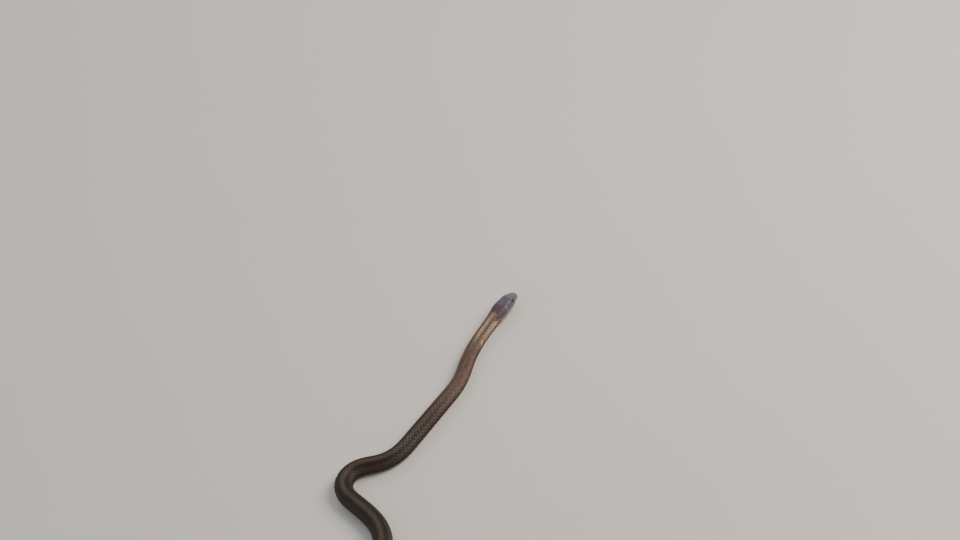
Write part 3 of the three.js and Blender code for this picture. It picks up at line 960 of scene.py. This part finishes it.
# An eye is a ball flattened outwards, and fuller than an ellipse
def makeEye(name, side):
    bm = bmesh.new()
    bmesh.ops.create_uvsphere(bm, u_segments=eyeShape["around"], v_segments=eyeShape["rings"], radius=1)
    bmesh.ops.rotate(bm, verts=bm.verts, matrix=Matrix.Rotation(radians(-90), 3, "X"))
    for face in bm.faces:
        face.smooth = True
    mesh = bpy.data.meshes.new(name)
    bm.to_mesh(mesh)
    bm.free()
    local = np.zeros(len(mesh.vertices) * 3, np.float32)
    mesh.vertices.foreach_get("co", local)
    local = local.reshape(-1, 3).astype(float)
    reach = np.clip(np.hypot(local[:, 0], local[:, 2]), 0, 1)
    power = eyeShape["fullness"]
    out = np.sign(local[:, 1]) * (1 - reach**power) ** (1 / power)
    centre, axes = eyeAxes(side)
    shaped = np.stack([local[:, 0] * eye["long"], out * eye["deep"], local[:, 2] * eye["tall"]], -1)
    head = shaped @ axes + centre
    mesh.vertices.foreach_set("co", (besideRoute(*head.T) * mm).astype(np.float32).ravel())
    addAttribute(mesh, "gaze", local)
    if side < 0:
        mesh.flip_normals()
    return addObject(mesh)


# Colours are written as sRGB and used as linear
def linearColour(hexColour):
    values = [int(hexColour[i:i + 2], 16) / 255 for i in (1, 3, 5)]
    return [v / 12.92 if v <= 0.04045 else ((v + 0.055) / 1.055) ** 2.4 for v in values] + [1]


# The socket of a number or a name, or the first, among those that the node has switched on
def findSocket(sockets, name=None):
    if isinstance(name, int):
        return sockets[name]
    return next(s for s in sockets if s.enabled and name in (None, s.name))


# Adds a node. Settings are its properties and the values of its inputs, with "stops" for a ramp's colours and
# "range" for from low, from high, to low and to high. Links join its inputs to other nodes or to their outputs
def addNode(tree, kind, settings=None, links=None):
    node = tree.nodes.new("ShaderNode" + kind)
    for name, value in (settings or {}).items():
        if name == "stops":
            ramp = node.color_ramp
            while len(ramp.elements) < len(value):
                ramp.elements.new(1)
            for element, (position, colour) in zip(ramp.elements, value):
                element.position = position
                element.color = linearColour(colour) if isinstance(colour, str) else [colour] * 3 + [1]
        elif name == "range":
            for number, limit in enumerate(value, 1):
                node.inputs[number].default_value = limit
        elif isinstance(name, int) or name in node.inputs:
            findSocket(node.inputs, name).default_value = linearColour(value) if isinstance(value, str) else value
        else:
            setattr(node, name, value)
    for name, source in (links or {}).items():
        output = source if isinstance(source, bpy.types.NodeSocket) else findSocket(source.outputs)
        tree.links.new(findSocket(node.inputs, name), output)
    return node


smooth = {"interpolation_type": "SMOOTHSTEP"}
colours = {"data_type": "RGBA"}
times = {"operation": "MULTIPLY"}


def newMaterial(name, finish):
    material = bpy.data.materials.new(name)
    material.use_nodes = True
    principled = material.node_tree.nodes["Principled BSDF"]
    for inputName, value in finish["shader"].items():
        principled.inputs[inputName].default_value = value
    return material, material.node_tree


# Gives a material its colour, and fine relief where its finish has lines: how many to a millimetre, their detail,
# their depth in millimetres and their strength
def dressMaterial(tree, colour, finish):
    principled = tree.nodes["Principled BSDF"]
    tree.links.new(principled.inputs["Base Color"], findSocket(colour.outputs))
    if "lines" in finish:
        perMillimetre, detail, depth, strength = finish["lines"]
        coords = addNode(tree, "TexCoord")
        noise = {"Scale": perMillimetre / mm, "Detail": detail}
        lines = addNode(tree, "TexNoise", noise, {"Vector": coords.outputs["Object"]})
        bump = addNode(tree, "Bump", {"Strength": strength, "Distance": depth * mm}, {"Height": lines})
        tree.links.new(principled.inputs["Normal"], findSocket(bump.outputs))


# The three numbers that every point stores under a name
def storedNumbers(tree, name):
    stored = addNode(tree, "Attribute", {"attribute_name": name})
    return addNode(tree, "SeparateXYZ", links={"Vector": stored.outputs["Vector"]}).outputs


# Colours by share of the way round from the back, for lengths of the animal
fleck = {"colour": "#d9b85e", "across": [(0.27, 0), (0.3, 1), (0.44, 1), (0.47, 0)], "some": (0.1, 0.7, 0.15, 0.7)}
palette = {
    "nape": [(0, "#503e48"), (0.3, "#52404a"), (0.42, "#605058"), (0.52, "#826e6c"), (0.7, "#c4b19d")],
    "front": [
        (0, "#b19981"), (0.06, "#a5907a"), (0.09, "#624b3e"), (0.21, "#5e4637"), (0.26, "#9f8572"),
        (0.45, "#ab917e"), (0.52, "#64493b"), (0.62, "#5c4235"), (0.7, "#ad9d8b"),
    ],
    "middle": [
        (0, "#624b3f"), (0.06, "#5b4539"), (0.1, "#50392d"), (0.18, "#5d4537"), (0.25, "#6a574c"),
        (0.36, "#655047"), (0.46, "#594640"), (0.53, "#40271c"), (0.63, "#3d251a"), (0.7, "#8f8075"),
    ],
    # the rear is partly its own dark brown and partly painted shade, so it is much darker than the front
    "rear": [
        (0, "#523f2e"), (0.06, "#48382a"), (0.085, "#150e0c"), (0.25, "#19110e"), (0.275, "#3f3025"),
        (0.46, "#3c2e24"), (0.5, "#150e0c"), (0.63, "#17100d"), (0.7, "#5a4f45"),
    ],
    # where each length takes over from the one before; from 72 to 114 mm the body darkens into the rear's colours,
    # partly painted shade
    "starts": {"front": (19.6, 21.8), "middle": (32, 50), "rear": (72, 114)},
    # the dark cap reaches further back at the sides of the neck
    "lobe": [(0.1, 0), (0.17, 1), (0.34, 1), (0.46, 0)],
    "lobeReach": 3.5,
    # behind the head the middle stripe starts pinkish and the dark line beside it amber, and at two places some
    # scales of the side stripe are yellow
    "patches": [
        {"colour": "#967466", "across": [(0.06, 1), (0.1, 0)], "along": (19.6, 21, 22, 29)},
        {"colour": "#6b4a40", "across": [(0.06, 0), (0.1, 1), (0.22, 1), (0.27, 0)], "along": (19.8, 21, 23, 29)},
        fleck | {"along": (24.4, 25.4, 27.6, 28.6)},
        fleck | {"along": (39.4, 40.4, 42.8, 43.8)},
    ],
    # each scale is a little lighter or darker than the next, in patches about 4 mm wide
    "mottlePerMm": 0.26,
    "mottle": (0.3, 1.7, 0.78, 1.22),
}


# How much of a patch's colour a point takes: all between its two middle distances, and none past the outer ones
def patchAmount(tree, patch, along, share, grain):
    first, full, last, end = patch["along"]
    across = addNode(tree, "ValToRGB", {"stops": patch["across"]}, {"Fac": share})
    rising = addNode(tree, "MapRange", smooth | {"range": (first, full)}, {"Value": along})
    falling = addNode(tree, "MapRange", smooth | {"range": (end, last)}, {"Value": along})
    amount = addNode(tree, "Math", times, {0: rising, 1: falling})
    if "some" in patch:
        chosen = addNode(tree, "MapRange", {"range": patch["some"]}, {"Value": grain})
        amount = addNode(tree, "Math", times, {0: amount, 1: chosen})
    return addNode(tree, "Math", times, {0: across, 1: amount})


# The markings shared by the skin and its scales, and the distance from the snout
def markings(tree):
    along, share, grain = storedNumbers(tree, "place")
    lobe = addNode(tree, "ValToRGB", {"stops": palette["lobe"]}, {"Fac": share})
    lag = addNode(tree, "Math", times | {1: palette["lobeReach"]}, {0: lobe})
    shifted = addNode(tree, "Math", {"operation": "SUBTRACT"}, {0: along, 1: lag})
    colour = addNode(tree, "ValToRGB", {"stops": palette["nape"]}, {"Fac": share})
    for part, reach in palette["starts"].items():
        position = shifted if part == "front" else along
        fade = addNode(tree, "MapRange", smooth | {"range": reach}, {"Value": position})
        ramp = addNode(tree, "ValToRGB", {"stops": palette[part]}, {"Fac": share})
        colour = addNode(tree, "Mix", colours, {"Factor": fade, "A": colour, "B": ramp})
    for patch in palette["patches"]:
        amount = patchAmount(tree, patch, along, share, grain)
        colour = addNode(tree, "Mix", colours | {"B": patch["colour"]}, {"Factor": amount, "A": colour})
    coords = addNode(tree, "TexCoord")
    noise = {"Scale": palette["mottlePerMm"] / mm, "Detail": 3}
    mottle = addNode(tree, "TexNoise", noise, {"Vector": coords.outputs["Object"]})
    both = addNode(tree, "Math", {"operation": "ADD"}, {0: grain, 1: mottle})
    value = addNode(tree, "MapRange", {"range": palette["mottle"]}, {"Value": both})
    return addNode(tree, "HueSaturation", links={"Value": value, "Color": colour}), along


# Horn, grown dry and satin: each scale has a darker rim, and a painted highlight along its keel. The lines in the
# horn are about 0.1 mm apart
hornFinish = {
    "shader": {"Roughness": 0.46, "IOR": 1.42},
    "rim": (0.72, 1, 0, 0.4),
    "rimTint": "#5a4a40",
    # how strongly the painted highlight lightens the keel
    "keel": 0.16,
    "keelHighlightTint": "#a89a84",
    "lines": (9, 2, 0.04, 0.12),
}


def scaleMaterial():
    finish = hornFinish
    material, tree = newMaterial("keeledHornScale", finish)
    outward, keel = storedNumbers(tree, "form")[1:]
    rim = addNode(tree, "MapRange", smooth | {"range": finish["rim"]}, {"Value": outward})
    darken = colours | {"blend_type": "MULTIPLY", "B": finish["rimTint"]}
    rimmed = addNode(tree, "Mix", darken, {"Factor": rim, "A": markings(tree)[0]})
    # painted highlight along the keel of each scale
    keelHighlight = addNode(tree, "Math", times | {1: finish["keel"]}, {0: keel})
    lighten = colours | {"blend_type": "SCREEN", "B": finish["keelHighlightTint"]}
    dressMaterial(tree, addNode(tree, "Mix", lighten, {"Factor": keelHighlight, "A": rimmed}), finish)
    return material


# Smooth horny head shields with dark seams, partly their own dark sutures and partly painted shade in the grooves
# between them and along the mouth, and the skin between scales darkened as painted shade in the gaps. The growth
# lines and pits in the shields are about 0.15 mm apart
shieldFinish = {
    "shader": {"Roughness": 0.42, "IOR": 1.42},
    # from the middle of the crown (0) over the mouth (0.5) to the chin (1)
    "head": [
        (0, "#564c59"), (0.2, "#584f5b"), (0.34, "#5f565f"), (0.405, "#73696e"), (0.47, "#8d7f7c"),
        (0.5, "#4a3c38"), (0.52, "#988780"), (0.6, "#b8a594"), (0.7, "#c6b5a0"),
    ],
    "snout": (12, 1, 0, 0.62),
    "snoutTint": "#8c898f",
    # dark seams: partly the shields' own sutures, partly painted shade in the grooves between shields and along
    # the mouth
    "seam": (0, 0.6, 0.55, 0),
    "sutureAndShadeTint": "#2e2826",
    "seamsEnd": (15.6, 14.6),
    # painted shade: how far the skin seen in the gaps between scales is darkened
    "thin": 0.75,
    "gapShadeTint": "#4a3d36",
    "headEnds": (15.4, 17),
    "lines": (6, 3, 0.05, 0.15),
}


def skinMaterial():
    finish = shieldFinish
    material, tree = newMaterial("shieldedSnakeSkin", finish)
    colour, along = markings(tree)
    plate, chart = storedNumbers(tree, "form")[:2]
    # painted shade in the gaps between scales, on all the skin behind the head
    darken = colours | {"blend_type": "MULTIPLY", "Factor": finish["thin"], "B": finish["gapShadeTint"]}
    thin = addNode(tree, "Mix", darken, {"A": colour})
    fromCrown = addNode(tree, "Math", times | {1: 0.5}, {0: chart})
    head = addNode(tree, "ValToRGB", {"stops": finish["head"]}, {"Fac": fromCrown})
    front = addNode(tree, "MapRange", smooth | {"range": finish["snout"]}, {"Value": along})
    paler = addNode(tree, "Mix", colours | {"B": finish["snoutTint"]}, {"Factor": front, "A": head})
    # painted shade, with the sutures' own darkness, where the shields dip into their grooves
    seam = addNode(tree, "MapRange", {"range": finish["seam"]}, {"Value": plate})
    onShields = addNode(tree, "MapRange", smooth | {"range": finish["seamsEnd"]}, {"Value": along})
    amount = addNode(tree, "Math", times, {0: seam, 1: onShields})
    seamed = addNode(tree, "Mix", colours | {"B": finish["sutureAndShadeTint"]}, {"Factor": amount, "A": paler})
    toNeck = addNode(tree, "MapRange", smooth | {"range": finish["headEnds"]}, {"Value": along})
    dressMaterial(tree, addNode(tree, "Mix", colours, {"Factor": toNeck, "A": seamed, "B": thin}), finish)
    return material


# Smooth pearly scutes, greyer further back and at their sides and hind edges. Their lines are 0.25 mm apart
scuteFinish = {
    "shader": {"Roughness": 0.36, "IOR": 1.45},
    "greyer": (24, 180),
    "front": "#c0b8a4",
    "rear": "#9d9689",
    "side": (0.72, 1, 0, 0.65),
    "sideTint": "#6a5d4d",
    "hind": (0.84, 1, 0, 0.45),
    "hindTint": "#5d574f",
    "varied": (0, 1, 0.92, 1.08),
    "lines": (4, 2, 0.04, 0.08),
}


def bellyMaterial():
    finish = scuteFinish
    material, tree = newMaterial("pearlyBellyScute", finish)
    place = storedNumbers(tree, "place")
    toTip, outward = storedNumbers(tree, "form")[:2]
    greyer = addNode(tree, "MapRange", {"range": finish["greyer"]}, {"Value": place[0]})
    colour = addNode(tree, "Mix", colours | {"A": finish["front"], "B": finish["rear"]}, {"Factor": greyer})
    for part, across in (("side", outward), ("hind", toTip)):
        amount = addNode(tree, "MapRange", smooth | {"range": finish[part]}, {"Value": across})
        colour = addNode(tree, "Mix", colours | {"B": finish[part + "Tint"]}, {"Factor": amount, "A": colour})
    value = addNode(tree, "MapRange", {"range": finish["varied"]}, {"Value": place[2]})
    dressMaterial(tree, addNode(tree, "HueSaturation", links={"Value": value, "Color": colour}), finish)
    return material


# A clear glossy scale over a brown iris, a thin golden ring and a round pupil, by share of the eye's radius
eyeFinish = {
    "shader": {"Roughness": 0.12, "IOR": 1.38, "Coat Weight": 1, "Coat Roughness": 0.02},
    "iris": [
        (0, "#7d5c30"), (0.46, "#6a4724"), (0.6, "#4d3019"), (0.74, "#331f12"), (0.88, "#150e0a"), (1, "#0b0807"),
    ],
    "flecks": {"Scale": 9, "Detail": 4},
    "wander": (0, 1, -0.05, 0.05),
    "ring": [(0.39, 0), (0.41, 1), (0.43, 1), (0.47, 0)],
    "ringTint": "#a98650",
    "pupil": [(0.385, 1), (0.4, 0)],
    "pupilTint": "#050403",
}


def eyeMaterial():
    finish = eyeFinish
    material, tree = newMaterial("clearEyeScale", finish)
    gaze = addNode(tree, "Attribute", {"attribute_name": "gaze"}).outputs["Vector"]
    flat = addNode(tree, "Mapping", {"Scale": (1, 0, 1)}, {"Vector": gaze})
    reach = addNode(tree, "VectorMath", {"operation": "LENGTH"}, {0: flat})
    flecks = addNode(tree, "TexNoise", finish["flecks"], {"Vector": gaze})
    wander = addNode(tree, "MapRange", {"range": finish["wander"]}, {"Value": flecks})
    radius = addNode(tree, "Math", {"operation": "ADD"}, {0: reach, 1: wander})
    colour = addNode(tree, "ValToRGB", {"stops": finish["iris"]}, {"Fac": radius})
    for part in ("ring", "pupil"):
        amount = addNode(tree, "ValToRGB", {"stops": finish[part]}, {"Fac": reach})
        colour = addNode(tree, "Mix", colours | {"B": finish[part + "Tint"]}, {"Factor": amount, "A": colour})
    dressMaterial(tree, colour, finish)
    return material


# Matt paper, with faint clouds about 0.3 m wide
floorFinish = {
    "shader": {"Roughness": 0.9},
    "clouds": {"Scale": 3, "Detail": 2},
    "tints": [(0, "#e0deda"), (1, "#e6e4e0")],
}


def floorMaterial():
    material, tree = newMaterial("matteFloorPaper", floorFinish)
    coords = addNode(tree, "TexCoord")
    clouds = addNode(tree, "TexNoise", floorFinish["clouds"], {"Vector": coords.outputs["Object"]})
    dressMaterial(tree, addNode(tree, "ValToRGB", {"stops": floorFinish["tints"]}, {"Fac": clouds}), floorFinish)
    return material


# The camera stands where the photograph's did, rolled a little, with a long lens
view = {"aim": (-16.8, 33), "distance": 1.984, "lens": 120, "sensor": 36, "elevation": 45, "roll": 16}


def makeCamera():
    data = bpy.data.cameras.new("camera")
    data.lens = view["lens"]
    data.sensor_width = view["sensor"]
    camera = bpy.data.objects.new("camera", data)
    bpy.context.scene.collection.objects.link(camera)
    tilt, roll = radians(view["elevation"]), radians(view["roll"])
    right = Vector((1, 0, 0))
    up = Vector((0, sin(tilt), cos(tilt)))
    back = Vector((0, -cos(tilt), sin(tilt)))
    rolledRight = right * cos(roll) - up * sin(roll)
    rolledUp = right * sin(roll) + up * cos(roll)
    aim = Vector((snake["snout"][0] + view["aim"][0], snake["snout"][1] + view["aim"][1], 0)) * mm
    turn = Matrix((rolledRight, rolledUp, back)).transposed().to_4x4()
    camera.matrix_world = Matrix.Translation(aim + back * view["distance"]) @ turn
    bpy.context.scene.camera = camera


# Soft lights, all aimed at the front half of the snake, and an even pale room
lights = {
    "key": {"at": (1.05, 0.2, 0.95), "size": 0.8, "watts": 18, "tint": "#fff4e6"},
    "fill": {"at": (-1.1, -0.3, 0.9), "size": 1.4, "watts": 3.5, "tint": "#eef2ff"},
    "back": {"at": (-0.2, 1.3, 1.0), "size": 1.0, "watts": 5, "tint": "#ffffff"},
}
room = {"aim": (0.03, 0.15, 0), "tint": "#e6e6e8", "strength": 0.32, "floorHalf": 8}


def makeLights():
    for name, setting in lights.items():
        data = bpy.data.lights.new(name, "AREA")
        data.energy = setting["watts"]
        data.size = setting["size"]
        data.color = linearColour(setting["tint"])[:3]
        lamp = bpy.data.objects.new(name, data)
        bpy.context.scene.collection.objects.link(lamp)
        lamp.location = setting["at"]
        lamp.rotation_euler = (Vector(room["aim"]) - lamp.location).to_track_quat("-Z", "Y").to_euler()
    world = bpy.data.worlds.new("studio")
    world.use_nodes = True
    background = world.node_tree.nodes["Background"]
    background.inputs["Color"].default_value = linearColour(room["tint"])
    background.inputs["Strength"].default_value = room["strength"]
    bpy.context.scene.world = world


def makeFloor():
    bm = bmesh.new()
    bmesh.ops.create_grid(bm, x_segments=1, y_segments=1, size=room["floorHalf"])
    mesh = bpy.data.meshes.new("floor")
    bm.to_mesh(mesh)
    bm.free()
    mesh.materials.append(floorMaterial())
    addObject(mesh)


# The scales are split into four pieces by distance from the snout, as one mesh would be too heavy
scaleLots = {
    "scales_neck": (0, 80),
    "scales_front": (80, 220),
    "scales_middle": (220, 400),
    "scales_rear": (400, 601),
}


def main():
    makeCamera()
    makeLights()
    makeFloor()
    print("stage ready")

    skin = makeSkin()
    skin.data.materials.append(skinMaterial())
    fleshNodes = [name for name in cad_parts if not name.startswith("eye")]
    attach(skin, "root")
    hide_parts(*fleshNodes)
    print("skin", len(skin.data.vertices), "points")

    dice = np.random.default_rng(rows["seed"])
    stations = rowStations()
    horn = scaleMaterial()
    sites = scaleSites(stations, dice)
    print("scales", len(sites))
    for name, (start, end) in scaleLots.items():
        piece = makeCoat(name, scaleShape, [site for site in sites if start <= site[0] < end])
        piece.data.materials.append(horn)
        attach(piece, "root")
        print(name, len(piece.data.polygons), "faces")

    pearly = bellyMaterial()
    belly = makeCoat("belly_scutes", scuteShape, scuteSites(stations, dice))
    tail = makeCoat("tail_scutes", halfScuteShape, tailScuteSites(stations, dice))
    for piece in (belly, tail):
        piece.data.materials.append(pearly)
        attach(piece, "root")
        print(piece.name, len(piece.data.polygons), "faces")

    glossy = eyeMaterial()
    for name, side in (("eye_right", 1), ("eye_left", -1)):
        piece = makeEye(name + "_ball", side)
        piece.data.materials.append(glossy)
        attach(piece, "root")
        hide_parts(name)
    print("eyes ready")


main()
